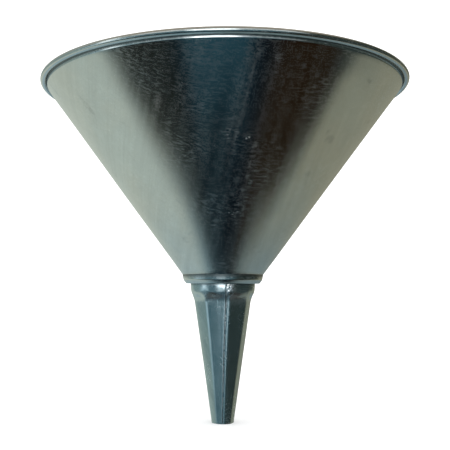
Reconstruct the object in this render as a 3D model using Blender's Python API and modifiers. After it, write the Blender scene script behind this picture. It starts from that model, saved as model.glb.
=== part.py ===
"""Sheet-metal funnel: a rolled cone with a wired rim on a fluted, lap-seamed spout.

Metres, +Z up. The origin is the centre of the spout's outlet, and the funnel stands on its outlet.
Azimuths are degrees from -Y, the front, towards +X.
"""
import math

import bmesh
import bpy
from mathutils import Vector

MM = 0.001

# Sheet and clearances
SHEET = 0.5 * MM
GAP = 0.3 * MM

# Wired rim
RIM_DIAMETER = 250.0 * MM
BEAD_RADIUS = 2.0 * MM
BEAD_HEIGHT = 227.8 * MM
WIRE_RADIUS = 1.2 * MM
WIRE_SIDES = 10
CURL_STEP = 24.0
CURL_TAIL = -162.0
CURL_LEAVES_WIRE = 150.0

# Cone and neck
CONE_TOP_RADIUS = 120.4 * MM
CONE_TOP_HEIGHT = 224.7 * MM
SET_IN_HEIGHT = 1.6 * MM
CONE_FOOT_RADIUS = 27.6 * MM
CONE_FOOT_HEIGHT = 99.3 * MM
LEDGE_HEIGHT = 93.0 * MM
LEDGE_INNER_RADIUS = 22.4 * MM
LEDGE_OUTER_RADIUS = 24.2 * MM
BOWL_SEGMENTS = 64

# Neck, as (in, down) steps from the cone's foot
NECK_STEPS = (
    (0.7 * MM, 3.7 * MM),
    (2.3 * MM, 5.9 * MM),
)

# Solder fillet inside the neck, as (radius, rise over the flange's clearance)
NECK_SOLDER_SECTION = (
    (25.6 * MM, 2.2 * MM),
    (26.2 * MM, 2.2 * MM),
    (24.7 * MM, 0.0),
    (22.7 * MM, 0.0),
    (22.7 * MM, 0.4 * MM),
    (23.9 * MM, 0.9 * MM),
)

# Lock seam down the back of the cone
LOCK_SEAM_WIDTH = 6.0 * MM
LOCK_SEAM_PROUD = 1.2 * MM
LOCK_SEAM_BURIED = 0.3 * MM
LOCK_SEAM_LOW = 103.0 * MM
LOCK_SEAM_HIGH = 223.0 * MM
LOCK_SEAM_BEVEL = 0.25 * MM
INNER_SOLDER_WIDTH = 3.0 * MM
INNER_SOLDER_THICKNESS = 0.4 * MM
INNER_SOLDER_BEVEL = 0.1 * MM

# Spout
COLLAR_RADIUS = 21.9 * MM
FLANGE_RADIUS = 24.0 * MM
FLANGE_BEND = 0.6 * MM
FLANGE_BEND_STEP = 30.0
FLUTE_TOP_RADIUS = 19.4 * MM
FLUTE_TOP_HEIGHT = 80.3 * MM
OUTLET_RADIUS = 7.55 * MM
OUTLET_TRIM = 2.0 * MM
FLAT_COUNT = 8
FLAT_ANGLE = 360.0 / FLAT_COUNT
FIRST_CREASE = 9.0
COLUMNS_PER_FLAT = 6
CREASE_SWELL = 1.012

# Collar and pressed shoulder, as (in from the collar, down from the ledge, flatness)
SHOULDER_STEPS = (
    (0.0, 1.0 * MM, 0.0),
    (0.4 * MM, 6.0 * MM, 0.0),
    (0.8 * MM, 7.3 * MM, 0.1),
    (1.7 * MM, 9.3 * MM, 0.6),
    (2.3 * MM, 11.4 * MM, 1.0),
)

# Lap seam down the front of the spout
LAP_EDGE = 3.0
LAP_TONGUE = 9.0
TONGUE_COLUMN = 1.5
JOGGLE_END = FIRST_CREASE + FLAT_ANGLE / COLUMNS_PER_FLAT
LAP_DEPTH = SHEET + GAP
FLANGE_NOTCH = 1.5

COLLECTION = "funnel"
STEEL = (0.55, 0.58, 0.58)
DARK_STEEL = (0.42, 0.43, 0.43)
SOLDER = (0.70, 0.71, 0.72)


def clear_scene():
    for item in list(bpy.data.objects):
        bpy.data.objects.remove(item, do_unlink=True)


def make_collection(name):
    collection = bpy.data.collections.new(name)
    bpy.context.scene.collection.children.link(collection)
    return collection


def make_material(name, colour, roughness):
    material = bpy.data.materials.new(name)
    material.use_nodes = True
    shader = material.node_tree.nodes["Principled BSDF"]
    shader.inputs["Base Color"].default_value = (*colour, 1.0)
    shader.inputs["Roughness"].default_value = roughness
    shader.inputs["Metallic"].default_value = 1.0
    return material


def make_object(name, mesh, collection, material=None):
    item = bpy.data.objects.new(name, mesh)
    collection.objects.link(item)
    if material is not None:
        mesh.materials.append(material)
    return item


def mesh_from(name, points, edges, faces):
    mesh = bpy.data.meshes.new(name)
    mesh.from_pydata(points, edges, faces)
    mesh.update()
    return mesh


def shade_round(mesh):
    mesh.shade_smooth()
    mesh.set_sharp_from_angle(angle=math.radians(35))


def arc(centre, radius, start, end, step):
    """Points (r, z) on an arc, from the start angle to the end angle in whole steps."""
    count = round(abs(end - start) / step)
    points = []
    for index in range(count + 1):
        angle = math.radians(start + (end - start) * index / count)
        points.append((centre[0] + radius * math.cos(angle), centre[1] + radius * math.sin(angle)))
    return points


def add_screw(item, segments):
    screw = item.modifiers.new("Turn", "SCREW")
    screw.angle = math.tau
    screw.steps = segments
    screw.render_steps = segments
    screw.use_merge_vertices = True
    screw.merge_threshold = 0.00001
    return screw


def add_sheet_thickness(item):
    solidify = item.modifiers.new("Sheet", "SOLIDIFY")
    solidify.thickness = SHEET
    solidify.offset = -1.0
    solidify.use_even_offset = True
    return solidify


def turned(name, outline, closed, segments, collection, material):
    """A profile of (r, z) points at +X, turned round Z."""
    count = len(outline)
    edges = [(index, index + 1) for index in range(count - 1)]
    if closed:
        edges.append((count - 1, 0))
    points = [(radius, 0.0, height) for radius, height in outline]
    item = make_object(name, mesh_from(name, points, edges, []), collection, material)
    add_screw(item, segments)
    return item


def bead_centre():
    return (RIM_DIAMETER / 2 - BEAD_RADIUS, BEAD_HEIGHT)


def bowl_outline():
    """The sheet's outer wall, from the tail of the curl to the inner edge of the neck ledge."""
    curl = arc(bead_centre(), BEAD_RADIUS - SHEET, CURL_TAIL, CURL_LEAVES_WIRE, CURL_STEP)
    set_in = [
        (CONE_TOP_RADIUS, CONE_TOP_HEIGHT + SET_IN_HEIGHT),
        (CONE_TOP_RADIUS, CONE_TOP_HEIGHT),
    ]
    foot = (CONE_FOOT_RADIUS, CONE_FOOT_HEIGHT)
    neck = [(foot[0] - inward, foot[1] - down) for inward, down in NECK_STEPS]
    ledge = [
        (LEDGE_OUTER_RADIUS, LEDGE_HEIGHT),
        (LEDGE_INNER_RADIUS, LEDGE_HEIGHT),
    ]
    return curl + set_in + [foot] + neck + ledge


def cone_slope():
    """Half-angle of the cone, in radians."""
    run = CONE_TOP_RADIUS - CONE_FOOT_RADIUS
    return math.atan2(run, CONE_TOP_HEIGHT - CONE_FOOT_HEIGHT)


def cone_radius(height):
    return CONE_FOOT_RADIUS + (height - CONE_FOOT_HEIGHT) * math.tan(cone_slope())


def strip_on_cone(name, width, thickness, proud, low, high, bevel, collection, material=None):
    """A bar along the back of the cone, its middle plane raised by proud from the outer wall."""
    mesh = bpy.data.meshes.new(name)
    shape = bmesh.new()
    bmesh.ops.create_cube(shape, size=1.0)
    length = (high - low) / math.cos(cone_slope())
    bmesh.ops.scale(shape, vec=(width, thickness, length), verts=shape.verts)
    bmesh.ops.bevel(
        shape, geom=shape.edges[:], offset=bevel, segments=1, affect="EDGES", clamp_overlap=True
    )
    shape.to_mesh(mesh)
    shape.free()
    item = make_object(name, mesh, collection, material)
    middle = (low + high) / 2
    slope = cone_slope()
    normal = Vector((0.0, math.cos(slope), -math.sin(slope)))
    item.location = Vector((0.0, cone_radius(middle), middle)) + normal * proud
    item.rotation_euler = (-slope, 0.0, 0.0)
    return item


def make_bowl(parts, cutters, material):
    bowl = turned("bowl", bowl_outline(), False, BOWL_SEGMENTS, parts, material)
    add_sheet_thickness(bowl)
    thickness = LOCK_SEAM_PROUD + LOCK_SEAM_BURIED
    ridge = strip_on_cone(
        "lock_seam_ridge",
        LOCK_SEAM_WIDTH,
        thickness,
        LOCK_SEAM_PROUD - thickness / 2,
        LOCK_SEAM_LOW,
        LOCK_SEAM_HIGH,
        LOCK_SEAM_BEVEL,
        cutters,
    )
    ridge.hide_render = True
    ridge.display_type = "WIRE"
    join = bowl.modifiers.new("Lock seam", "BOOLEAN")
    join.operation = "UNION"
    join.solver = "EXACT"
    join.object = ridge
    return bowl


def make_rim_wire(parts, material):
    bpy.ops.mesh.primitive_torus_add(
        major_segments=BOWL_SEGMENTS,
        minor_segments=WIRE_SIDES,
        major_radius=bead_centre()[0],
        minor_radius=WIRE_RADIUS,
        location=(0.0, 0.0, BEAD_HEIGHT),
    )
    wire = bpy.context.object
    wire.name = "rim_wire"
    for owner in list(wire.users_collection):
        owner.objects.unlink(wire)
    parts.objects.link(wire)
    wire.data.materials.append(material)
    shade_round(wire.data)
    return wire


def flange_height():
    """Height of the flange's underside, clear of the ledge's upper face."""
    return LEDGE_HEIGHT + SHEET + GAP


def spout_rows():
    """Rows (radius, height, flatness, lap depth) of the spout's outer wall, top to bottom."""
    height = flange_height()
    bend_centre = (COLLAR_RADIUS + FLANGE_BEND, height - FLANGE_BEND)
    rows = [(FLANGE_RADIUS, height, 0.0, 0.0)]
    for radius, level in arc(bend_centre, FLANGE_BEND, 90.0, 180.0, FLANGE_BEND_STEP):
        rows.append((radius, level, 0.0, 0.0))
    for inward, down, flatness in SHOULDER_STEPS:
        rows.append((COLLAR_RADIUS - inward, LEDGE_HEIGHT - down, flatness, LAP_DEPTH))
    taper = (FLUTE_TOP_RADIUS - OUTLET_RADIUS) / FLUTE_TOP_HEIGHT
    rows.append((OUTLET_RADIUS - taper * OUTLET_TRIM, -OUTLET_TRIM, 1.0, LAP_DEPTH))
    return rows


def section_radius(azimuth, radius, flatness):
    """Radius of a section that goes from round (flatness 0) to eight flats (flatness 1)."""
    half = math.radians(FLAT_ANGLE / 2)
    from_middle = math.radians((azimuth - FIRST_CREASE) % FLAT_ANGLE) - half
    flats = radius * CREASE_SWELL * math.cos(half) / math.cos(from_middle)
    return radius + (flats - radius) * flatness


def joggle(azimuth):
    """Share of the lap depth at an azimuth: all of it under the lap, none past the joggle."""
    share = (JOGGLE_END - azimuth) / (JOGGLE_END - LAP_EDGE)
    return min(max(share, 0.0), 1.0)


def on_spout(azimuth, row, sunk):
    radius, height, flatness, depth = row
    reach = section_radius(azimuth, radius, flatness) - sunk * depth
    angle = math.radians(azimuth)
    return (reach * math.sin(angle), -reach * math.cos(angle), height)


def spout_columns():
    """Azimuths of the sheet, from the end of the hidden tongue, all round, to the lap's edge."""
    step = FLAT_ANGLE / COLUMNS_PER_FLAT
    tongue = [LAP_EDGE - LAP_TONGUE, LAP_EDGE - TONGUE_COLUMN]
    around = [FIRST_CREASE + step * index for index in range(FLAT_COUNT * COLUMNS_PER_FLAT)]
    around = [azimuth for azimuth in around if azimuth < LAP_EDGE + 360.0]
    return tongue + [LAP_EDGE] + around + [LAP_EDGE + 360.0]


def make_square_end(cutters):
    """A block under the outlet, which cuts the spout's end square."""
    mesh = bpy.data.meshes.new("outlet_cut")
    shape = bmesh.new()
    bmesh.ops.create_cube(shape, size=1.0)
    width = 4 * OUTLET_RADIUS
    depth = 2 * OUTLET_TRIM
    bmesh.ops.scale(shape, vec=(width, width, depth), verts=shape.verts)
    shape.to_mesh(mesh)
    shape.free()
    block = make_object("outlet_cut", mesh, cutters)
    block.location = (0.0, 0.0, -depth / 2)
    block.hide_render = True
    block.display_type = "WIRE"
    return block


def make_spout(parts, cutters, material):
    """A rolled sheet whose sunk tongue runs under its other edge; the flange has a notch instead."""
    rows = spout_rows()
    columns = spout_columns()
    first_full = columns.index(LAP_EDGE)
    points = []
    index_of = {}
    for row_index, row in enumerate(rows):
        in_flange = row[3] == 0.0
        for column_index, azimuth in enumerate(columns):
            if in_flange and column_index < first_full:
                continue
            place = azimuth
            if in_flange and column_index == first_full:
                place = azimuth + FLANGE_NOTCH
            index_of[row_index, column_index] = len(points)
            points.append(on_spout(place, row, joggle(azimuth)))
    faces = []
    for row_index in range(len(rows) - 1):
        for column_index in range(len(columns) - 1):
            corners = [
                (row_index, column_index),
                (row_index + 1, column_index),
                (row_index + 1, column_index + 1),
                (row_index, column_index + 1),
            ]
            if all(corner in index_of for corner in corners):
                faces.append([index_of[corner] for corner in corners])
    mesh = mesh_from("spout", points, [], faces)
    spout = make_object("spout", mesh, parts, material)
    shade_round(mesh)
    add_sheet_thickness(spout)
    cut = spout.modifiers.new("Square end", "BOOLEAN")
    cut.operation = "DIFFERENCE"
    cut.solver = "EXACT"
    cut.object = make_square_end(cutters)
    return spout


def make_neck_solder(parts, material):
    """A ring of solder in the corner between the flange and the neck's inner wall."""
    base = flange_height() + SHEET + GAP
    outline = [(radius, base + rise) for radius, rise in NECK_SOLDER_SECTION]
    return turned("neck_solder", outline, True, BOWL_SEGMENTS // 2, parts, material)


def make_spout_seam_solder(parts, material):
    """Solder in the step beside the lap's edge, flush with the spout's outer wall."""
    rows = [row for row in spout_rows() if row[3] > 0.0]
    radius, height, flatness, depth = rows[0]
    rows[0] = (radius, height - GAP, flatness, depth)
    rows[-1] = (OUTLET_RADIUS, GAP, 1.0, LAP_DEPTH)
    lift = GAP / LAP_DEPTH
    points = []
    faces = []
    for row in rows:
        near = LAP_EDGE + math.degrees(GAP / row[0])
        start = len(points)
        points.append(on_spout(near, row, joggle(near) - lift))
        points.append(on_spout(near, row, 0.0))
        points.append(on_spout(FIRST_CREASE, row, 0.0))
        points.append(on_spout(FIRST_CREASE, row, joggle(FIRST_CREASE) - lift))
        sides = len(points) - start
        if start:
            for corner in range(sides):
                after = (corner + 1) % sides
                above = start - sides
                faces.append([above + corner, above + after, start + after, start + corner])
    faces.append(list(range(sides)))
    faces.append(list(range(len(points) - 1, start - 1, -1)))
    mesh = mesh_from("spout_seam_solder", points, [], faces)
    shape = bmesh.new()
    shape.from_mesh(mesh)
    bmesh.ops.recalc_face_normals(shape, faces=shape.faces)
    shape.to_mesh(mesh)
    shape.free()
    return make_object("spout_seam_solder", mesh, parts, material)


def make_bowl_seam_solder(parts, material):
    raised = -(SHEET + GAP + INNER_SOLDER_THICKNESS / 2)
    return strip_on_cone(
        "bowl_seam_solder",
        INNER_SOLDER_WIDTH,
        INNER_SOLDER_THICKNESS,
        raised,
        LOCK_SEAM_LOW,
        LOCK_SEAM_HIGH,
        INNER_SOLDER_BEVEL,
        parts,
        material,
    )


def main():
    clear_scene()
    parts = make_collection(COLLECTION)
    cutters = make_collection("cutters")
    make_bowl(parts, cutters, make_material("bowl_sheet", STEEL, 0.35))
    make_rim_wire(parts, make_material("rim_wire", DARK_STEEL, 0.45))
    make_spout(parts, cutters, make_material("spout_sheet", STEEL, 0.3))
    solder = make_material("solder", SOLDER, 0.4)
    make_neck_solder(parts, solder)
    make_spout_seam_solder(parts, solder)
    make_bowl_seam_solder(parts, solder)


main()
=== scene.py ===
import math

import bmesh
import bpy
import numpy as np
from mathutils import Matrix, Vector, noise


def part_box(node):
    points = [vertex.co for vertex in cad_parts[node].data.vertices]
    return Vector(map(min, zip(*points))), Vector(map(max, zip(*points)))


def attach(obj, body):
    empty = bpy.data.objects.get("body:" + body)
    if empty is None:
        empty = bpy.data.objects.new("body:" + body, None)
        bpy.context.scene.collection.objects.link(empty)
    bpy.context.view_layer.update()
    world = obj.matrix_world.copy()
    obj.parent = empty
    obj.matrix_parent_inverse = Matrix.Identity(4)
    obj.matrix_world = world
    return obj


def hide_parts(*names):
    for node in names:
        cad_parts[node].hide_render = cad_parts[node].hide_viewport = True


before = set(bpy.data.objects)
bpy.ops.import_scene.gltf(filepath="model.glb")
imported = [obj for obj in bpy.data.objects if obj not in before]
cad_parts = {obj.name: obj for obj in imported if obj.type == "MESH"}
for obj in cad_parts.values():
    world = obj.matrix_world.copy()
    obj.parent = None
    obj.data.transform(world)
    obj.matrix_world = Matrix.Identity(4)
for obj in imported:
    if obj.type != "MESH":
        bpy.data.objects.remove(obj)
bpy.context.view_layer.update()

MM = 0.001

# Levels and radii read from the parts in model.glb
BOWL_LOW, BOWL_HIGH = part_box("bowl")
FLANGE_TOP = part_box("spout")[1].z
WIRE_LOW, WIRE_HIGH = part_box("rim_wire")
RIM_RADIUS = BOWL_HIGH.x
RIM_TOP = BOWL_HIGH.z
LEDGE = BOWL_LOW.z
BEAD_LEVEL = (WIRE_LOW.z + WIRE_HIGH.z) / 2
BEAD_RADIUS = RIM_TOP - BEAD_LEVEL
BEAD_CENTRE = RIM_RADIUS - BEAD_RADIUS
SHEET = 0.5 * MM

# Cone, measured down from the bead and up from the ledge
CONE_TOP = (RIM_RADIUS - 4.6 * MM, BEAD_LEVEL - 3.1 * MM)
CONE_FOOT = (27.6 * MM, LEDGE + 6.3 * MM)
CONE_SLOPE = math.atan2(CONE_TOP[0] - CONE_FOOT[0], CONE_TOP[1] - CONE_FOOT[1])
SIN_SLOPE = math.sin(CONE_SLOPE)
COS_SLOPE = math.cos(CONE_SLOPE)

# Spout
COLLAR_RADIUS = 21.9 * MM
FLUTE_TOP = LEDGE - 12.7 * MM
FLUTE_TOP_RADIUS = 19.6 * MM
OUTLET_RADIUS = 7.6 * MM
CREASES_ABOVE = (9.5, 51.0, 98.0, 143.0, 188.0, 233.0, 278.0, 323.5)
CREASES_BELOW = (-1.0, 40.0, 91.0, 141.0, 190.0, 238.0, 284.0, 329.5)
LAP_EDGE_ABOVE = 3.0
LAP_EDGE_BELOW = -4.0
TONGUE_ANGLE = 10.0
JOGGLE_ANGLE = 9.0
LAP_SINK = SHEET + 0.04 * MM


# ---------------------------------------------------------------- shape helpers

def smooth(low, high, value):
    """Smooth step from 0 at low to 1 at high."""
    share = np.clip((value - low) / (high - low), 0.0, 1.0)
    return share * share * (3.0 - 2.0 * share)


def ramp(low, high, rounding, value):
    """Straight ramp from 0 at low to 1 at high, with rounded ends."""
    total = 0.0
    for shift in (-1.0, -0.6, -0.2, 0.2, 0.6, 1.0):
        total = total + np.clip((value + shift * rounding - low) / (high - low), 0.0, 1.0)
    return total / 6


def bump(centre, width, value):
    """A bell of height 1."""
    return np.exp(-(((value - centre) / width) ** 2))


def arc(centre, radius, start, end, steps):
    angles = np.radians(np.linspace(start, end, steps + 1))
    across = centre[0] + radius * np.cos(angles)
    up = centre[1] + radius * np.sin(angles)
    return list(zip(across, up))


def filleted(corners, steps=6):
    """A path through (x, z, fillet radius) corners, with each inner corner turned by an arc."""
    path = [corners[0][:2]]
    for before, here, after in zip(corners, corners[1:], corners[2:]):
        point = Vector(here[:2])
        into = (point - Vector(before[:2])).normalized()
        out = (Vector(after[:2]) - point).normalized()
        turn = into.angle_signed(out)
        if here[2] <= 0.0 or abs(turn) < 0.01:
            path.append(here[:2])
            continue
        reach = here[2] * math.tan(abs(turn) / 2)
        side = Vector((-into.y, into.x)) * (-1.0 if turn > 0 else 1.0)
        start = point - into * reach
        centre = start + side * here[2]
        spoke = start - centre
        for step in range(steps + 1):
            angle = -turn * step / steps
            turned = Matrix.Rotation(angle, 2) @ spoke
            path.append(tuple(centre + turned))
    path.append(corners[-1][:2])
    return path


def resampled(path, spacing):
    """The path with its long stretches cut to about the spacing, and its short ones kept."""
    result = [path[0]]
    for start, end in zip(path, path[1:]):
        length = math.dist(start, end)
        cuts = max(1, round(length / spacing))
        for cut in range(1, cuts + 1):
            share = cut / cuts
            result.append(tuple(a + (b - a) * share for a, b in zip(start, end)))
    return np.array(result)


def path_normals(path):
    """Unit normals on the left-hand side of a path's direction of travel."""
    ahead = np.gradient(path, axis=0)
    ahead /= np.linalg.norm(ahead, axis=1)[:, None]
    return np.stack([-ahead[:, 1], ahead[:, 0]], axis=1)


def grid_normals(grid):
    """Unit normals of a grid of points whose rows run down and whose columns run round."""
    down = np.gradient(grid, axis=0)
    around = np.gradient(grid, axis=1)
    normals = np.cross(down, around)
    return normals / np.linalg.norm(normals, axis=2)[:, :, None]


def lumps(points, size, seed):
    """Smooth noise from -1 to 1 at each point of an array."""
    flat = points.reshape(-1, 3) / size
    values = [noise.noise(Vector(point) + Vector((seed, 0.0, 0.0))) for point in flat.tolist()]
    return np.array(values).reshape(points.shape[:-1])


# ---------------------------------------------------------------- mesh helpers

INNER_SHIFT = 1.7


def grid_faces(rows, columns, offset, closed, flip):
    faces = []
    count = columns if closed else columns - 1
    for row in range(rows - 1):
        for column in range(count):
            right = (column + 1) % columns
            quad = [
                offset + row * columns + column,
                offset + (row + 1) * columns + column,
                offset + (row + 1) * columns + right,
                offset + row * columns + right,
            ]
            faces.append(quad[::-1] if flip else quad)
    return faces


def rim_faces(line, offset, closed, flip):
    """Faces that join an outer line of points to the inner line offset later."""
    faces = []
    count = len(line) if closed else len(line) - 1
    for index in range(count):
        here = line[index]
        after = line[(index + 1) % len(line)]
        quad = [here, after, after + offset, here + offset]
        faces.append(quad[::-1] if flip else quad)
    return faces


def sheet_mesh(name, outer, inner, closed):
    """One closed body between an outer and an inner grid of points."""
    rows, columns = outer.shape[:2]
    total = rows * columns
    points = np.concatenate([outer.reshape(-1, 3), inner.reshape(-1, 3)])
    faces = grid_faces(rows, columns, 0, closed, False)
    faces += grid_faces(rows, columns, total, closed, True)
    first = list(range(columns))
    last = list(range(total - columns, total))
    faces += rim_faces(first, total, closed, False)
    faces += rim_faces(last, total, closed, True)
    if not closed:
        left = list(range(0, total, columns))
        right = list(range(columns - 1, total, columns))
        faces += rim_faces(left, total, False, True)
        faces += rim_faces(right, total, False, False)
    mesh = bpy.data.meshes.new(name)
    mesh.from_pydata(points.tolist(), [], faces)
    mesh.update()
    return mesh


def ring_mesh(name, grid):
    """One closed ring from a grid of points that wraps round both ways."""
    rows, columns = grid.shape[:2]
    faces = []
    for row in range(rows):
        for column in range(columns):
            below = (row + 1) % rows
            right = (column + 1) % columns
            faces.append([
                row * columns + column,
                below * columns + column,
                below * columns + right,
                row * columns + right,
            ])
    mesh = bpy.data.meshes.new(name)
    mesh.from_pydata(grid.reshape(-1, 3).tolist(), [], faces)
    mesh.update()
    return mesh


def face_outward(mesh):
    """Turns the faces of a closed body round if they look inward."""
    shape = bmesh.new()
    shape.from_mesh(mesh)
    if shape.calc_volume(signed=True) < 0.0:
        bmesh.ops.reverse_faces(shape, faces=shape.faces)
        shape.to_mesh(mesh)
    shape.free()


def add_piece(name, mesh, node, material):
    face_outward(mesh)
    piece = bpy.data.objects.new(name, mesh)
    bpy.context.scene.collection.objects.link(piece)
    mesh.materials.clear()
    mesh.materials.append(material)
    mesh.shade_smooth()
    mesh.set_sharp_from_angle(angle=math.radians(50))
    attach(piece, "root")
    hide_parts(node)


def add_flat_pattern(mesh, half_angle, rolled, cut):
    """UVs in metres on the flat blank that a cone-shaped sheet is rolled from.

    U runs along the direction the sheet was milled in, rolled degrees off the front generator, and V
    across it. The blank is cut at the azimuth cut. Inner faces are shifted, to get their own marks.
    """
    spots = np.empty(len(mesh.vertices) * 3, np.float32)
    mesh.vertices.foreach_get("co", spots)
    spots = spots.reshape(-1, 3)
    loops = np.empty(len(mesh.loops), np.int32)
    mesh.loops.foreach_get("vertex_index", loops)
    azimuth = np.degrees(np.arctan2(spots[:, 0], -spots[:, 1]))
    azimuth = (azimuth - cut) % 360.0 + cut
    starts = np.empty(len(mesh.polygons), np.int32)
    totals = np.empty(len(mesh.polygons), np.int32)
    normals = np.empty(len(mesh.polygons) * 3, np.float32)
    centres = np.empty(len(mesh.polygons) * 3, np.float32)
    mesh.polygons.foreach_get("loop_start", starts)
    mesh.polygons.foreach_get("loop_total", totals)
    mesh.polygons.foreach_get("normal", normals)
    mesh.polygons.foreach_get("center", centres)
    normals = normals.reshape(-1, 3)
    centres = centres.reshape(-1, 3)
    owner = np.repeat(np.arange(len(starts)), totals)
    middle = np.degrees(np.arctan2(centres[:, 0], -centres[:, 1]))
    middle = (middle - cut) % 360.0 + cut
    turn = azimuth[loops] - middle[owner]
    turn = (turn + 180.0) % 360.0 - 180.0
    angle = np.radians(middle[owner] + turn) * math.sin(half_angle)
    outward = (normals[:, :2] * centres[:, :2]).sum(axis=1) > 0.0
    radius = np.hypot(spots[:, 0], spots[:, 1])[loops]
    slant = radius / math.sin(half_angle)
    along = slant * np.cos(angle - math.radians(rolled))
    across = slant * np.sin(angle - math.radians(rolled))
    along += np.where(outward[owner], 0.0, INNER_SHIFT)
    layer = mesh.uv_layers.new(name="flat")
    layer.data.foreach_set("uv", np.stack([along, across], axis=1).astype(np.float32).ravel())


def set_point_values(mesh, name, values):
    attribute = mesh.attributes.new(name, "FLOAT", "POINT")
    attribute.data.foreach_set("value", np.asarray(values, np.float32).ravel())


# ---------------------------------------------------------------- bowl

CURL_STEPS = 44
LOCK_HALF = 2.8 * MM
LOCK_REACH = 4.2 * MM
LOCK_HEIGHT = 1.1 * MM


def bowl_path():
    """The sheet's outer wall, from the tail of the curl round the wire and down to the ledge."""
    curl = arc((BEAD_CENTRE, BEAD_LEVEL), BEAD_RADIUS - SHEET, -162.0, 150.0, CURL_STEPS)
    start = curl[-1]
    corners = [
        (*start, 0.0),
        (CONE_TOP[0] + 0.15 * MM, CONE_TOP[1] + 1.6 * MM, 0.7 * MM),
        (*CONE_TOP, 0.9 * MM),
        (27.55 * MM, LEDGE + 6.2 * MM, 1.6 * MM),
        (26.85 * MM, LEDGE + 2.5 * MM, 1.6 * MM),
        (25.2 * MM, LEDGE + 0.3 * MM, 0.6 * MM),
        (24.6 * MM, LEDGE, 0.3 * MM),
        (COLLAR_RADIUS + 0.05 * MM, LEDGE, 0.0),
    ]
    path = curl[:-1] + filleted(corners, steps=5)
    return resampled(path, 2.4 * MM)


def lock_profile(across):
    """Height of the folded lock seam over the wall: a steep folded edge and a softer one."""
    rise = smooth(-LOCK_HALF - 0.35 * MM, -LOCK_HALF, across)
    fall = 1.0 - smooth(LOCK_HALF, LOCK_HALF + 0.9 * MM, across)
    crown = 1.0 - 0.12 * (across / LOCK_HALF) ** 2
    return LOCK_HEIGHT * rise * fall * crown


def bowl_columns(radii):
    """Azimuths (rows by columns): even round the front, and at fixed widths across the seam."""
    seam = np.array([-4.2, -3.5, -3.15, -3.0, -2.85, -2.5, -1.5, -0.5, 0.5, 1.5, 2.5])
    seam = np.concatenate([seam, [2.8, 3.1, 3.4, 3.7, 4.2]]) * MM
    widths = np.degrees(seam[None, :] / radii[:, None])
    around = np.linspace(0.0, 1.0, 300)[1:-1]
    first = 180.0 + widths[:, -1:]
    last = 540.0 + widths[:, :1]
    sweep = first + (last - first) * around[None, :]
    columns = np.concatenate([180.0 + widths, sweep], axis=1)
    across = np.concatenate([seam, np.full(len(around), LOCK_REACH)])
    return columns, across


def make_bowl(material):
    path = bowl_path()
    normals = path_normals(path)
    offset = -SHEET * normals
    columns, across = bowl_columns(path[:, 0])
    angle = np.radians(columns)
    on_cone = smooth(CONE_FOOT[1] - 0.2 * MM, CONE_FOOT[1] + 12 * MM, path[:, 1])
    on_cone *= 1.0 - smooth(CONE_TOP[1] - 12 * MM, CONE_TOP[1] - 1 * MM, path[:, 1])
    in_curl = np.arange(len(path)) < CURL_STEPS
    on_cone[in_curl] = 0.0
    seam_fade = smooth(CONE_FOOT[1] - 0.5 * MM, CONE_FOOT[1] + 4 * MM, path[:, 1])
    seam_fade *= 1.0 - smooth(CONE_TOP[1] - 5 * MM, CONE_TOP[1] - 0.5 * MM, path[:, 1])
    seam_fade[in_curl] = 0.0

    def spun(profile, raised):
        radius = profile[:, None, 0] + raised * normals[:, None, 0]
        height = profile[:, None, 1] + raised * normals[:, None, 1]
        return np.stack([radius * np.sin(angle), -radius * np.cos(angle), height], axis=2)

    flat = spun(path, np.zeros_like(angle))
    waves = lumps(flat, 60 * MM, 3.0) * 0.16 * MM + lumps(flat, 22 * MM, 8.0) * 0.035 * MM
    waves *= on_cone[:, None]
    hammered = 1.0 + 0.10 * lumps(flat, 5 * MM, 5.0)
    lock = lock_profile(across)[None, :] * seam_fade[:, None] * hammered
    bead_flats = -0.03 * MM * (0.5 + 0.5 * lumps(flat, 25 * MM, 11.0)) * in_curl[:, None]
    outer = spun(path, waves + lock)
    inner = spun(path + offset, waves - bead_flats)
    mesh = sheet_mesh("bowl_sheet", outer, inner, True)
    add_flat_pattern(mesh, CONE_SLOPE, 11.8, -180.0 + 1.4)
    # Painted shade: the base colour darkens along the crevice under the bead and in the neck's groove,
    # and the inner faces get 30% of it.
    crevice = bump(CONE_FOOT[1] - 0.6 * MM, 0.6 * MM, path[:, 1])
    crevice = np.maximum(crevice, bump(CONE_TOP[1] + 1.9 * MM, 0.8 * MM, path[:, 1]))
    # Most of the curl gets only a fifth of the painted shade that the crevice under it gets.
    crevice[:40] *= 0.2
    crevice_shade = np.repeat(crevice[:, None], angle.shape[1], axis=1)
    set_point_values(mesh, "crevice_shade", np.concatenate([crevice_shade, crevice_shade * 0.3]))
    add_piece("bowl_sheet", mesh, "bowl", material)


def make_rim_wire(material):
    radius = BEAD_RADIUS - SHEET - 0.06 * MM
    section = np.radians(np.linspace(0.0, 360.0, 21)[:-1])
    around = np.radians(np.linspace(0.0, 360.0, 241)[:-1])
    reach = BEAD_CENTRE + radius * np.cos(section)[None, :]
    height = BEAD_LEVEL + radius * np.sin(section)[None, :]
    grid = np.stack(
        [
            reach * np.sin(around)[:, None],
            -reach * np.cos(around)[:, None],
            np.repeat(height, len(around), axis=0),
        ],
        axis=2,
    )
    mesh = ring_mesh("rim_wire_drawn", grid)
    add_piece("rim_wire_drawn", mesh, "rim_wire", material)


# ---------------------------------------------------------------- spout

def spout_wall(level):
    """Radius of the round wall: collar, then a shoulder curving in to the creases."""
    taper = (FLUTE_TOP_RADIUS - OUTLET_RADIUS) / FLUTE_TOP
    collar = COLLAR_RADIUS - 0.4 * MM * smooth(LEDGE - 1 * MM, LEDGE - 7 * MM, level)
    flutes = OUTLET_RADIUS + taper * level
    share = ramp(LEDGE - 6.0 * MM, LEDGE - 11.0 * MM, 1.2 * MM, level)
    return collar + (flutes - collar) * share


def down_flutes(level):
    """Share of the way down the flutes, from 0 at their tops to 1 at the outlet."""
    return 1.0 - np.clip(level / FLUTE_TOP, 0.0, 1.0)


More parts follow.
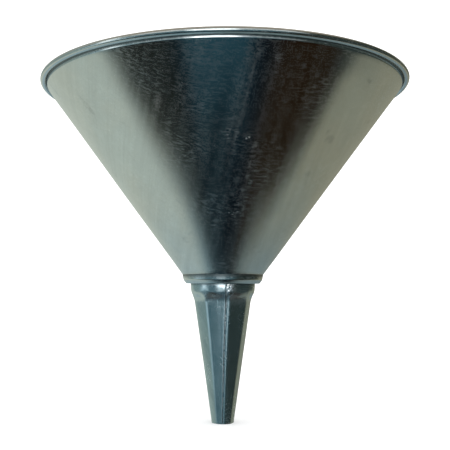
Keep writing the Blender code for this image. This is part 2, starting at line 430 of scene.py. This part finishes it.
def crease_azimuth(index, share):
    """Azimuth of a crease. The eight are unevenly spaced, so no two flats are alike."""
    turn, crease = divmod(index, len(CREASES_ABOVE))
    above = CREASES_ABOVE[crease]
    return above + (CREASES_BELOW[crease] - above) * share + 360.0 * turn


def lap_edge(level):
    """Azimuth of the seam's outer, cut edge."""
    return LAP_EDGE_ABOVE + (LAP_EDGE_BELOW - LAP_EDGE_ABOVE) * down_flutes(level)


def flat_shape(azimuth, level):
    """Radius of the fluted section as a share of its crease radius, with rounded creases."""
    share = down_flutes(level)
    sharpness = 26.0
    depth = 0.82
    total = np.zeros_like(azimuth + level)
    for index in range(len(CREASES_ABOVE)):
        start = crease_azimuth(index, share)
        end = crease_azimuth(index + 1, share)
        middle = np.radians((start + end) / 2)
        apothem = np.cos(np.radians((end - start) / 2))
        facing = np.cos(np.radians(azimuth) - middle)
        total += (np.maximum(facing, 0.0) / apothem) ** sharpness
    return (1.0 - depth) + depth * total ** (-1.0 / sharpness)


def spout_radius(azimuth, level):
    """Radius of the spout's outer wall, without its lap."""
    wall = spout_wall(level)
    offset = (azimuth - crease_azimuth(0, down_flutes(level))) % 45.0
    scallop = 2.4 * MM * (1.0 - np.abs(offset / 22.5 - 1.0) ** 2)
    pressed = ramp(LEDGE - 4.6 * MM, LEDGE - 8.4 * MM, 0.7 * MM, level + scallop * 0.9 - 0.9 * MM)
    shape = flat_shape(azimuth, level)
    return wall * (1.0 + (shape - 1.0) * pressed)


def wrinkles(azimuth, level):
    """Small puckers just under the shoulder, where the flats were pressed in."""
    turned = (azimuth + 180.0) % 360.0 - 180.0
    band = bump(FLUTE_TOP + 1.1 * MM, 1.1 * MM, level)
    strength = 0.35 + 0.65 * bump(-28.0, 18.0, turned)
    waves = np.sin(np.radians(turned) * 67.0 + 1.3 * np.sin(np.radians(turned) * 11.0))
    uneven = 0.5 + 0.5 * np.sin(np.radians(turned) * 23.0 + 0.7)
    return 0.16 * MM * band * strength * waves * uneven


def make_spout(material):
    bend = 0.7 * MM
    flange_level = FLANGE_TOP - SHEET
    corners = [
        (24.0 * MM, flange_level, 0.0),
        (COLLAR_RADIUS, flange_level, bend),
        (COLLAR_RADIUS, LEDGE - 1.0 * MM, 0.0),
    ]
    top = resampled(filleted(corners, steps=6), 0.8 * MM)
    lower = np.concatenate([
        np.linspace(LEDGE - 1.4 * MM, FLUTE_TOP - 4 * MM, 46),
        np.linspace(FLUTE_TOP - 4 * MM, 0.0, 62)[1:],
    ])
    tongue = np.linspace(-TONGUE_ANGLE, 0.0, 8)
    joggled = np.linspace(0.0, JOGGLE_ANGLE, 14)[1:]
    around = np.linspace(JOGGLE_ANGLE, 360.0, 286)[1:]
    columns = np.concatenate([tongue, joggled, around])
    rows = len(top) + len(lower)
    past_edge = np.repeat(columns[None, :], rows, axis=0)
    level = np.concatenate([top[:, 1], lower])[:, None] * np.ones_like(past_edge)
    azimuth = past_edge + lap_edge(level)
    radius = np.empty_like(azimuth)
    radius[: len(top)] = top[:, :1]
    radius[len(top) :] = spout_radius(azimuth[len(top) :], level[len(top) :])
    radius += wrinkles(azimuth, level) * (np.arange(rows) >= len(top))[:, None]
    # The tongue runs under the lap's edge, and the joggle brings the sheet back up to the surface.
    sunk = 1.0 - smooth(0.0, JOGGLE_ANGLE, columns)
    depth = LAP_SINK * smooth(LEDGE - 0.2 * MM, LEDGE - 2.0 * MM, level[:, 0])
    radius -= depth[:, None] * sunk[None, :]
    # The lap's own edge stands a little off the tongue, and is rounded over.
    proud = smooth(350.0, 360.0, past_edge) * 0.08 * MM - smooth(359.0, 360.0, past_edge) * 0.05 * MM
    radius += proud * smooth(LEDGE - 1.0 * MM, LEDGE - 4.0 * MM, level)
    # In the flange the tongue is notched away: its columns are drawn back behind the lap's edge.
    in_flange = 1.0 - smooth(LEDGE - 0.2 * MM, LEDGE - 2.0 * MM, level)
    squeezed = 0.6 + np.maximum(past_edge + TONGUE_ANGLE, 0.0) * 0.1
    drawn = squeezed + (JOGGLE_ANGLE - squeezed) * smooth(0.0, JOGGLE_ANGLE, past_edge)
    shift = np.where(past_edge < JOGGLE_ANGLE, drawn - past_edge, 0.0)
    azimuth = azimuth + shift * in_flange
    angle = np.radians(azimuth)
    outer = np.stack([radius * np.sin(angle), -radius * np.cos(angle), level], axis=2)
    dents = lumps(outer, 9 * MM, 21.0) * 0.05 * MM * smooth(LEDGE - 3 * MM, LEDGE - 9 * MM, level)
    dents *= smooth(-0.001 * MM, 6 * MM, level)
    normals = grid_normals(outer)
    outer = outer + normals * dents[:, :, None]
    inner = outer - normals * SHEET
    inner[-1, :, 2] = outer[-1, :, 2]
    mesh = sheet_mesh("spout_sheet", outer, inner, False)
    half_angle = math.atan((FLUTE_TOP_RADIUS - OUTLET_RADIUS) / FLUTE_TOP)
    add_flat_pattern(mesh, half_angle, 1.5, LAP_EDGE_BELOW - TONGUE_ANGLE - 0.5)
    # Painted shade: the base colour darkens along the lap's edges and just under the ledge, and the
    # inner faces get half of it.
    crevice = bump(0.0, 1.6, past_edge) + bump(360.0, 0.8, past_edge)
    crevice = np.maximum(crevice, bump(LEDGE - 0.3 * MM, 0.7 * MM, level))
    set_point_values(mesh, "crevice_shade", np.concatenate([crevice, crevice * 0.5]))
    worn = bump(LEDGE - 9.0 * MM, 4.0 * MM, level)
    set_point_values(mesh, "worn", np.concatenate([worn, np.zeros_like(worn)]))
    add_piece("spout_sheet", mesh, "spout", material)


# ---------------------------------------------------------------- solder

def make_neck_solder(material):
    """A lumpy fillet of solder over the flange, up to the neck's inner wall."""
    floor = FLANGE_TOP
    corners = [
        (26.6 * MM, floor + 3.4 * MM, 0.0),
        (26.2 * MM, floor + 1.6 * MM, 0.6 * MM),
        (25.1 * MM, floor, 0.3 * MM),
        (22.3 * MM, floor, 0.1 * MM),
        (22.9 * MM, floor + 0.5 * MM, 0.5 * MM),
        (24.6 * MM, floor + 1.1 * MM, 1.2 * MM),
        (26.45 * MM, floor + 3.5 * MM, 0.0),
    ]
    section = resampled(filleted(corners, steps=4), 0.4 * MM)
    section = section[::-1]
    angle = np.radians(np.linspace(0.0, 360.0, 193)[:-1])
    radius = np.repeat(section[:, :1], len(angle), axis=1)
    height = np.repeat(section[:, 1:], len(angle), axis=1)
    grid = np.stack([radius * np.sin(angle), -radius * np.cos(angle), height], axis=2)
    free = smooth(floor + 0.2 * MM, floor + 0.6 * MM, height) * (height < floor + 3.3 * MM)
    lumpy = (lumps(grid, 3.2 * MM, 31.0) * 0.28 + lumps(grid, 1.3 * MM, 37.0) * 0.08) * MM * free
    radius = radius - lumpy * 0.7
    height = height + lumpy
    grid = np.stack([radius * np.sin(angle), -radius * np.cos(angle), height], axis=2)
    mesh = ring_mesh("neck_solder_fillet", grid)
    add_piece("neck_solder_fillet", mesh, "neck_solder", material)


def ribbon(name, spine, width_way, normals, half_widths, heights, lumpy=0.0, seed=0.0):
    """A closed, crowned run of solder along a spine, from its widths and heights at each point."""
    steps = np.linspace(-1.0, 1.0, 23)
    crown = 1.0 - np.abs(steps) ** 4
    across = width_way[:, None, :] * (half_widths[:, None] * steps[None, :])[:, :, None]
    bed = spine[:, None, :] + across
    reach = np.hypot(spine[:, 0], spine[:, 1])[:, None]
    drop = reach - np.sqrt(np.maximum(reach**2 - (half_widths[:, None] * steps[None, :]) ** 2, 0.0))
    bed = bed - normals[:, None, :] * drop[:, :, None]
    rough = 1.0 + lumpy * (lumps(bed, 1.5 * MM, seed) + 0.5 * lumps(bed, 0.7 * MM, seed + 5.0))
    up = normals[:, None, :] * (heights[:, None] * crown[None, :] * rough)[:, :, None]
    return sheet_mesh(name, bed + up, bed - normals[:, None, :] * 0.06 * MM, False)


def make_spout_seam_solder(material):
    levels = np.linspace(LEDGE - 0.4 * MM, 8 * MM, 260)
    past_edge = 2.0 + 8.0 * smooth(LEDGE - 10 * MM, LEDGE - 5 * MM, levels)
    azimuth = past_edge + lap_edge(levels)
    radius = spout_radius(azimuth, levels)
    radius = radius - LAP_SINK * (1.0 - smooth(0.0, JOGGLE_ANGLE, past_edge))
    angle = np.radians(azimuth)
    out = np.stack([np.sin(angle), -np.cos(angle), np.zeros_like(angle)], axis=1)
    spine = out * radius[:, None]
    spine[:, 2] = levels
    way = np.stack([np.cos(angle), np.sin(angle), np.zeros_like(angle)], axis=1)
    in_collar = smooth(LEDGE - 10 * MM, LEDGE - 6 * MM, levels)
    uneven = lumps(spine, 1.7 * MM, 41.0)
    half = (0.28 + 2.6 * in_collar + 0.5 * uneven * (0.2 + in_collar)) * MM
    half *= radius / COLLAR_RADIUS
    height = (0.16 + 0.12 * in_collar + 0.10 * uneven) * MM * (0.5 + 0.5 * radius / COLLAR_RADIUS)
    mesh = ribbon("spout_seam_solder_run", spine, way, out, half, height, 0.9, 43.0)
    add_piece("spout_seam_solder_run", mesh, "spout_seam_solder", material)


def make_bowl_seam_solder(material):
    low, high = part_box("bowl_seam_solder")
    levels = np.linspace(high.z, low.z, 300)
    wall = CONE_FOOT[0] + (levels - CONE_FOOT[1]) * math.tan(CONE_SLOPE)
    wall -= SHEET / COS_SLOPE
    spine = np.stack([np.zeros_like(levels), wall, levels], axis=1)
    inward = np.tile(np.array([0.0, -COS_SLOPE, SIN_SLOPE]), (len(levels), 1))
    way = np.tile(np.array([1.0, 0.0, 0.0]), (len(levels), 1))
    uneven = lumps(spine, 6 * MM, 51.0)
    ripple = lumps(spine, 1.8 * MM, 57.0)
    half = (1.7 + 0.5 * uneven + 0.15 * ripple) * MM
    height = (0.30 + 0.10 * uneven + 0.05 * ripple) * MM
    spine[:, 0] += lumps(spine, 15 * MM, 61.0) * 0.5 * MM
    mesh = ribbon("bowl_seam_solder_run", spine, way, inward, half, height, 0.3, 53.0)
    add_piece("bowl_seam_solder_run", mesh, "bowl_seam_solder", material)


# ---------------------------------------------------------------- shader graphs

class Graph:
    """Short names for building a node tree."""

    def __init__(self, tree):
        self.tree = tree

    def node(self, kind, **settings):
        made = self.tree.nodes.new(kind)
        for key, value in settings.items():
            setattr(made, key, value)
        return made

    def feed(self, socket, value):
        if isinstance(value, bpy.types.NodeSocket):
            self.tree.links.new(value, socket)
        elif value is not None:
            socket.default_value = value

    def math(self, operation, first, second=None, third=None):
        made = self.node("ShaderNodeMath", operation=operation)
        self.feed(made.inputs[0], first)
        self.feed(made.inputs[1], second)
        self.feed(made.inputs[2], third)
        return made.outputs[0]

    def step(self, value, low, high, start=0.0, end=1.0):
        """Smooth step of value, from start at low to end at high."""
        made = self.node("ShaderNodeMapRange", interpolation_type="SMOOTHSTEP")
        self.feed(made.inputs["Value"], value)
        self.feed(made.inputs["From Min"], low)
        self.feed(made.inputs["From Max"], high)
        self.feed(made.inputs["To Min"], start)
        self.feed(made.inputs["To Max"], end)
        return made.outputs["Result"]

    def blend(self, share, first, second, mode="MIX"):
        made = self.node("ShaderNodeMix", data_type="RGBA", blend_type=mode)
        self.feed(made.inputs["Factor"], share)
        self.feed(made.inputs[6], first)
        self.feed(made.inputs[7], second)
        return made.outputs[2]

    def combine(self, x, y, z):
        made = self.node("ShaderNodeCombineXYZ")
        self.feed(made.inputs[0], x)
        self.feed(made.inputs[1], y)
        self.feed(made.inputs[2], z)
        return made.outputs[0]

    def noise(self, vector, scale, detail=2.0, roughness=0.5, distortion=0.0):
        made = self.node("ShaderNodeTexNoise")
        self.feed(made.inputs["Vector"], vector)
        made.inputs["Scale"].default_value = scale
        made.inputs["Detail"].default_value = detail
        made.inputs["Roughness"].default_value = roughness
        made.inputs["Distortion"].default_value = distortion
        return made.outputs["Fac"]


# How much one unit of haze takes off Metallic
METALLIC_LOSS = 0.0155


def rgb(red, green, blue):
    return (red, green, blue, 1.0)


def new_material(name):
    material = bpy.data.materials.new(name)
    material.use_nodes = True
    shader = material.node_tree.nodes["Principled BSDF"]
    shader.inputs["Metallic"].default_value = 1.0
    return material, Graph(material.node_tree), shader


def sheet_material(name, cool, warm, base_roughness, wear, marks=()):
    """Bright zinc-coated sheet: milling streaks, cross scratches, stains and a thin oxide bloom.

    Wear scales the haze of its scratches and bloom. Each mark is (along, across, half length, half
    width, strength), with its place and size in metres on the flat pattern.
    """
    material, graph, shader = new_material(name)
    flat = graph.node("ShaderNodeUVMap", uv_map="flat").outputs[0]
    split = graph.node("ShaderNodeSeparateXYZ")
    graph.feed(split.inputs[0], flat)
    along = split.outputs[0]
    across = split.outputs[1]
    crevice_shade = graph.node("ShaderNodeAttribute", attribute_name="crevice_shade").outputs["Fac"]

    def stretched(along_scale, across_scale, detail, seed):
        lengthwise = graph.math("MULTIPLY", along, along_scale)
        crosswise = graph.math("MULTIPLY", across, across_scale)
        return graph.noise(graph.combine(lengthwise, crosswise, seed), 1.0, detail, 0.6)

    bands = stretched(5.0, 120.0, 3.0, 1.0)
    streaks = stretched(12.0, 600.0, 3.0, 2.0)
    hairs = stretched(110.0, 800.0, 2.0, 7.0)
    cross_hairs = stretched(800.0, 190.0, 2.0, 3.0)
    fine_hairs = stretched(1100.0, 360.0, 2.0, 9.0)
    patches = stretched(16.0, 16.0, 4.0, 4.0)
    smudges = stretched(60.0, 45.0, 5.0, 5.0)

    colour = graph.blend(graph.step(patches, 0.35, 0.65), cool, warm)
    level = graph.math(
        "MULTIPLY",
        graph.step(bands, 0.3, 0.7, 0.96, 1.03),
        graph.step(streaks, 0.3, 0.7, 0.98, 1.02),
    )
    stain = graph.step(smudges, 0.60, 0.72)
    level = graph.math("MULTIPLY", level, graph.step(stain, 0.0, 1.0, 1.0, 0.87))
    level = graph.math("MULTIPLY", level, graph.step(smudges, 0.30, 0.58, 1.025, 0.975))
    # Painted shade: the base colour falls to 35% in the marked crevices, which are also made rougher.
    level = graph.math("MULTIPLY", level, graph.step(crevice_shade, 0.0, 1.0, 1.0, 0.35))

    scuffed = graph.step(graph.noise(flat, 30.0, 3.0), 0.38, 0.62, 0.5, 1.0)
    hair = graph.step(hairs, 0.50, 0.64)
    cross_hair = graph.math("MULTIPLY", graph.step(cross_hairs, 0.49, 0.63), scuffed)
    fine_hair = graph.math("MULTIPLY", graph.step(fine_hairs, 0.50, 0.64), scuffed)
    level = graph.math("MULTIPLY", level, graph.step(cross_hair, 0.0, 1.0, 0.99, 1.03))
    level = graph.math("MULTIPLY", level, graph.step(fine_hairs, 0.55, 0.66, 1.0, 0.96))
    shade = graph.combine(level, level, level)
    colour = graph.blend(1.0, colour, shade, "MULTIPLY")
    graph.feed(shader.inputs["Base Color"], colour)

    bloom = graph.step(bands, 0.42, 0.68, 0.0, 0.35)
    for mark_along, mark_across, length, width, strength in marks:
        lengthwise = graph.math("ABSOLUTE", graph.math("SUBTRACT", along, mark_along))
        crosswise = graph.math("ABSOLUTE", graph.math("SUBTRACT", across, mark_across))
        spot = graph.math(
            "MULTIPLY",
            graph.step(lengthwise, length * 0.4, length, strength, 0.0),
            graph.step(crosswise, width * 0.2, width, 1.0, 0.0),
        )
        bloom = graph.math("ADD", bloom, spot)
    bloom = graph.math("MULTIPLY", bloom, graph.step(streaks, 0.3, 0.7, 0.55, 1.35))
    scratched = graph.math("MAXIMUM", cross_hair, graph.math("MULTIPLY", hair, 0.4))
    scratched = graph.math("MAXIMUM", scratched, graph.math("MULTIPLY", fine_hair, 0.8))
    haze = graph.math("MULTIPLY_ADD", scratched, 0.4, 0.12)
    haze = graph.math("MULTIPLY_ADD", bloom, haze, scratched)
    haze = graph.math("MULTIPLY", haze, wear)
    worn = graph.node("ShaderNodeAttribute", attribute_name="worn").outputs["Fac"]
    haze = graph.math("MULTIPLY_ADD", worn, graph.step(smudges, 0.35, 0.65, 2.5, 4.5), haze)
    metallic = graph.math("MULTIPLY_ADD", haze, -METALLIC_LOSS, 1.0)
    graph.feed(shader.inputs["Metallic"], metallic)

    rough = graph.step(bands, 0.3, 0.7, base_roughness - 0.02, base_roughness + 0.04)
    rough = graph.math("MULTIPLY_ADD", scratched, 0.08, rough)
    rough = graph.math("MULTIPLY_ADD", stain, 0.07, rough)
    rough = graph.math("MULTIPLY_ADD", crevice_shade, 0.25, rough)
    graph.feed(shader.inputs["Roughness"], rough)

    relief = graph.math("MULTIPLY_ADD", cross_hair, 0.04, streaks)
    surface = graph.node("ShaderNodeBump")
    surface.inputs["Strength"].default_value = 0.25
    surface.inputs["Distance"].default_value = 0.015 * MM
    graph.feed(surface.inputs["Height"], relief)
    graph.feed(shader.inputs["Normal"], surface.outputs[0])
    return material


def wire_material():
    material, graph, shader = new_material("drawn_wire")
    place = graph.node("ShaderNodeTexCoord").outputs["Object"]
    drawn = graph.noise(place, 900.0, 3.0)
    rust = graph.step(graph.noise(place, 120.0, 4.0), 0.55, 0.7)
    colour = graph.blend(rust, rgb(0.40, 0.41, 0.41), rgb(0.26, 0.20, 0.15))
    graph.feed(shader.inputs["Base Color"], colour)
    graph.feed(shader.inputs["Roughness"], graph.step(drawn, 0.3, 0.7, 0.38, 0.55))
    return material


def solder_material():
    material, graph, shader = new_material("solder")
    place = graph.node("ShaderNodeTexCoord").outputs["Object"]
    grain = graph.noise(place, 700.0, 4.0)
    flow = graph.noise(place, 260.0, 3.0, 0.6, 0.8)
    flux = graph.step(graph.noise(place, 150.0, 3.0), 0.58, 0.75)
    colour = graph.blend(flux, rgb(0.68, 0.71, 0.72), rgb(0.50, 0.50, 0.45))
    graph.feed(shader.inputs["Base Color"], colour)
    graph.feed(shader.inputs["Roughness"], graph.step(flow, 0.3, 0.7, 0.20, 0.42))
    surface = graph.node("ShaderNodeBump")
    surface.inputs["Strength"].default_value = 0.5
    surface.inputs["Distance"].default_value = 0.08 * MM
    graph.feed(surface.inputs["Height"], graph.math("ADD", flow, grain))
    graph.feed(shader.inputs["Normal"], surface.outputs[0])
    return material


# Marks on the bowl's outside: three bloomed lines, two scuffed patches, one small scuff
BOWL_MARKS = (
    (0.178, -0.0305, 0.066, 0.0030, 3.6),
    (0.172, -0.0258, 0.064, 0.0028, 4.4),
    (0.150, -0.0130, 0.070, 0.0030, 2.0),
    (0.170, -0.0560, 0.036, 0.0140, 2.6),
    (0.128, -0.0430, 0.028, 0.0110, 1.6),
    (0.150, -0.0740, 0.007, 0.0030, 8.0),
)


# ---------------------------------------------------------------- studio

def make_world():
    """An even white room for the camera and for diffuse light, and a made-up room for reflections.

    Glossy rays see soft-edged zones in place of the white: pale sheets to the sides and behind, a dark
    front, walls, a ceiling and five panels. They were set one by one, guided by the photo's median
    colour in each reflected direction. Directions are an azimuth, from the front towards +X, and an
    elevation, in degrees.
    """
    world = bpy.data.worlds.new("studio")
    bpy.context.scene.world = world
    world.use_nodes = True
    world.cycles.sampling_method = "NONE"
    graph = Graph(world.node_tree)
    world.node_tree.nodes.clear()
    ray = graph.node("ShaderNodeTexCoord").outputs["Generated"]
    split = graph.node("ShaderNodeSeparateXYZ")
    graph.feed(split.inputs[0], ray)
    right, back, up = split.outputs[0], split.outputs[1], split.outputs[2]
    front = graph.math("MULTIPLY", back, -1.0)
    azimuth = graph.math("DEGREES", graph.math("ARCTAN2", right, front))
    elevation = graph.math("DEGREES", graph.math("ARCSINE", up))

    def window(value, low, high, soft):
        return graph.math(
            "MULTIPLY",
            graph.step(value, low - soft, low + soft),
            graph.step(value, high - soft, high + soft, 1.0, 0.0),
        )

    def panel(light, colour, azimuths, elevations, soft):
        """Lays a soft-edged panel of one colour over the light so far."""
        mask = graph.math(
            "MULTIPLY", window(azimuth, *azimuths, soft), window(elevation, *elevations, soft)
        )
        return graph.blend(mask, light, colour)

    sideways = graph.math("ABSOLUTE", azimuth)
    # Well below the horizon: pale paper to the sides and behind, bluer and dimmer towards the ground.
    on_right = graph.step(azimuth, -20.0, 20.0)
    warm_line = graph.math("MULTIPLY_ADD", sideways, 0.62, -113.0)
    warm_line = graph.math("MULTIPLY_ADD", on_right, 5.0, warm_line)
    over_line = graph.step(graph.math("SUBTRACT", elevation, warm_line), -8.0, 8.0)
    left = graph.blend(over_line, rgb(0.36, 0.475, 0.52), rgb(0.565, 0.615, 0.545))
    right_side = graph.blend(over_line, rgb(0.22, 0.29, 0.31), rgb(0.31, 0.305, 0.23))
    behind = graph.blend(on_right, left, right_side)
    lowest = graph.blend(on_right, rgb(0.22, 0.33, 0.37), rgb(0.17, 0.23, 0.24))
    behind = graph.blend(graph.step(elevation, -68.0, -50.0), lowest, behind)
    # The dark room on the camera's side, with a blue and a brown patch in it.
    dark = rgb(0.008, 0.016, 0.021)
    dark = graph.blend(window(azimuth, -90.0, -44.0, 10.0), dark, rgb(0.017, 0.020, 0.018))
    dark = graph.blend(window(azimuth, 2.0, 38.0, 8.0), dark, rgb(0.002, 0.004, 0.007))
    dark = graph.blend(window(azimuth, 40.0, 90.0, 9.0), dark, rgb(0.017, 0.009, 0.004))
    raised = graph.step(elevation, -63.0, -52.0)
    blue = graph.math("MULTIPLY", window(azimuth, -32.0, 20.0, 8.0), raised)
    dark = graph.blend(blue, dark, rgb(0.026, 0.075, 0.102))
    threshold = graph.step(elevation, -63.0, -36.0, 0.21, 0.02)
    rightward = graph.step(azimuth, 0.0, 40.0)
    lowered = graph.math("MULTIPLY", rightward, graph.step(elevation, -64.0, -46.0))
    threshold = graph.math("MULTIPLY_ADD", lowered, -0.08, threshold)
    edge = graph.math("SUBTRACT", front, threshold)
    low = graph.blend(graph.step(edge, -0.11, 0.11), behind, dark)
    # Near the horizon: grey on the left, dimmer and bluer in front, and dark on the right.
    mid = rgb(0.28, 0.365, 0.350)
    mid = graph.blend(graph.step(azimuth, -98.0, -82.0), mid, rgb(0.11, 0.19, 0.22))
    mid = graph.blend(graph.step(azimuth, 18.0, 46.0), mid, rgb(0.036, 0.050, 0.047))
    mid = graph.blend(graph.step(azimuth, 97.0, 128.0), mid, rgb(0.088, 0.095, 0.070))
    # The paper's top edge climbs towards the back.
    climb = graph.math("MAXIMUM", graph.math("MULTIPLY_ADD", sideways, 0.66, -58.0), 0.0)
    join = graph.math("SUBTRACT", elevation, graph.math("ADD", climb, -34.0))
    light = graph.blend(graph.step(join, -3.5, 3.5), low, mid)
    # Above it: walls, darkest on the right, and a warm ceiling.
    wall = rgb(0.38, 0.40, 0.36)
    wall = graph.blend(graph.step(azimuth, -40.0, 60.0), wall, rgb(0.055, 0.060, 0.045))
    wall = graph.blend(graph.step(azimuth, 122.0, 142.0), wall, rgb(0.34, 0.34, 0.27))
    ceiling = rgb(0.46, 0.40, 0.33)
    above = graph.blend(graph.step(elevation, 35.0, 60.0), wall, ceiling)
    light = graph.blend(graph.step(elevation, 8.0, 18.0), light, above)
    light = panel(light, rgb(0.45, 0.57, 0.62), (-19.0, 3.0), (-30.0, -9.0), 7.0)
    light = panel(light, rgb(0.75, 0.78, 0.80), (-55.0, 45.0), (6.0, 34.0), 6.0)
    light = panel(light, rgb(0.53, 0.69, 0.74), (-91.0, -57.0), (-20.0, -4.0), 4.0)
    light = panel(light, rgb(1.3, 1.4, 1.45), (-78.0, -66.0), (-10.0, 26.0), 3.0)
    light = panel(light, rgb(3.6, 3.7, 3.8), (-20.0, 6.0), (-7.0, 14.0), 3.0)

    white = rgb(1.5, 1.5, 1.5)
    path = graph.node("ShaderNodeLightPath")
    chosen = graph.blend(path.outputs["Is Glossy Ray"], white, light)
    background = graph.node("ShaderNodeBackground")
    graph.feed(background.inputs["Color"], chosen)
    output = graph.node("ShaderNodeOutputWorld")
    graph.feed(output.inputs["Surface"], background.outputs[0])


def make_floor():
    bpy.ops.mesh.primitive_plane_add(size=12.0, location=(0.0, 0.0, 0.0))
    floor = bpy.context.object
    floor.name = "floor"
    material = bpy.data.materials.new("floor")
    material.use_nodes = True
    shader = material.node_tree.nodes["Principled BSDF"]
    shader.inputs["Base Color"].default_value = rgb(0.97, 0.97, 0.97)
    shader.inputs["Roughness"].default_value = 0.9
    shader.inputs["Specular IOR Level"].default_value = 0.0
    floor.data.materials.append(material)
    # Reflections see the made-up room in place of the floor.
    floor.visible_glossy = False


def make_light():
    lamp = bpy.data.lights.new("top_softbox", "AREA")
    lamp.shape = "DISK"
    lamp.size = 1.6
    lamp.energy = 4.0
    light = bpy.data.objects.new("top_softbox", lamp)
    bpy.context.scene.collection.objects.link(light)
    light.location = (-0.6, -0.3, 2.2)
    aim = Vector((0.0, 0.0, 0.1)) - light.location
    light.rotation_euler = aim.to_track_quat("-Z", "Y").to_euler()
    # Reflections see the made-up room in place of the lamp too.
    light.visible_glossy = False


# Camera fitted to the photo's outline: metres and radians, with the lens in millimetres
CAMERA_DISTANCE = 0.5155
CAMERA_LEVEL = 0.0912
CAMERA_SIDE = -0.01986
CAMERA_PITCH = 0.081
CAMERA_ROLL = 0.005
CAMERA_LENS = 60.24
CAMERA_SHIFT = 0.0689


def make_camera():
    lens = bpy.data.cameras.new("camera")
    lens.lens = CAMERA_LENS
    lens.sensor_width = 36.0
    lens.shift_x = CAMERA_SHIFT
    camera = bpy.data.objects.new("camera", lens)
    bpy.context.scene.collection.objects.link(camera)
    camera.location = (CAMERA_SIDE, -CAMERA_DISTANCE, CAMERA_LEVEL)
    tilt = Matrix.Rotation(math.radians(90.0) + CAMERA_PITCH, 4, "X")
    roll = Matrix.Rotation(CAMERA_ROLL, 4, "Z")
    camera.rotation_euler = (tilt @ roll).to_euler()
    bpy.context.scene.camera = camera


def main():
    cool = rgb(0.60, 0.655, 0.66)
    warm = rgb(0.63, 0.66, 0.64)
    sheet = sheet_material("galvanised_sheet", cool, warm, 0.13, 1.0, BOWL_MARKS)
    # Painted shade and a painted bluish reflection: the spout's colours are a darker, bluer copy of the
    # bowl's sheet colours.
    shaded_cool = rgb(0.48, 0.585, 0.62)
    shaded_warm = rgb(0.51, 0.595, 0.61)
    pressed = sheet_material("galvanised_pressed_shaded", shaded_cool, shaded_warm, 0.18, 0.5)
    solder = solder_material()
    make_bowl(sheet)
    make_rim_wire(wire_material())
    make_spout(pressed)
    make_neck_solder(solder)
    make_spout_seam_solder(solder)
    make_bowl_seam_solder(solder)
    make_world()
    make_floor()
    make_light()
    make_camera()
    bpy.context.scene.view_settings.view_transform = "Standard"


main()
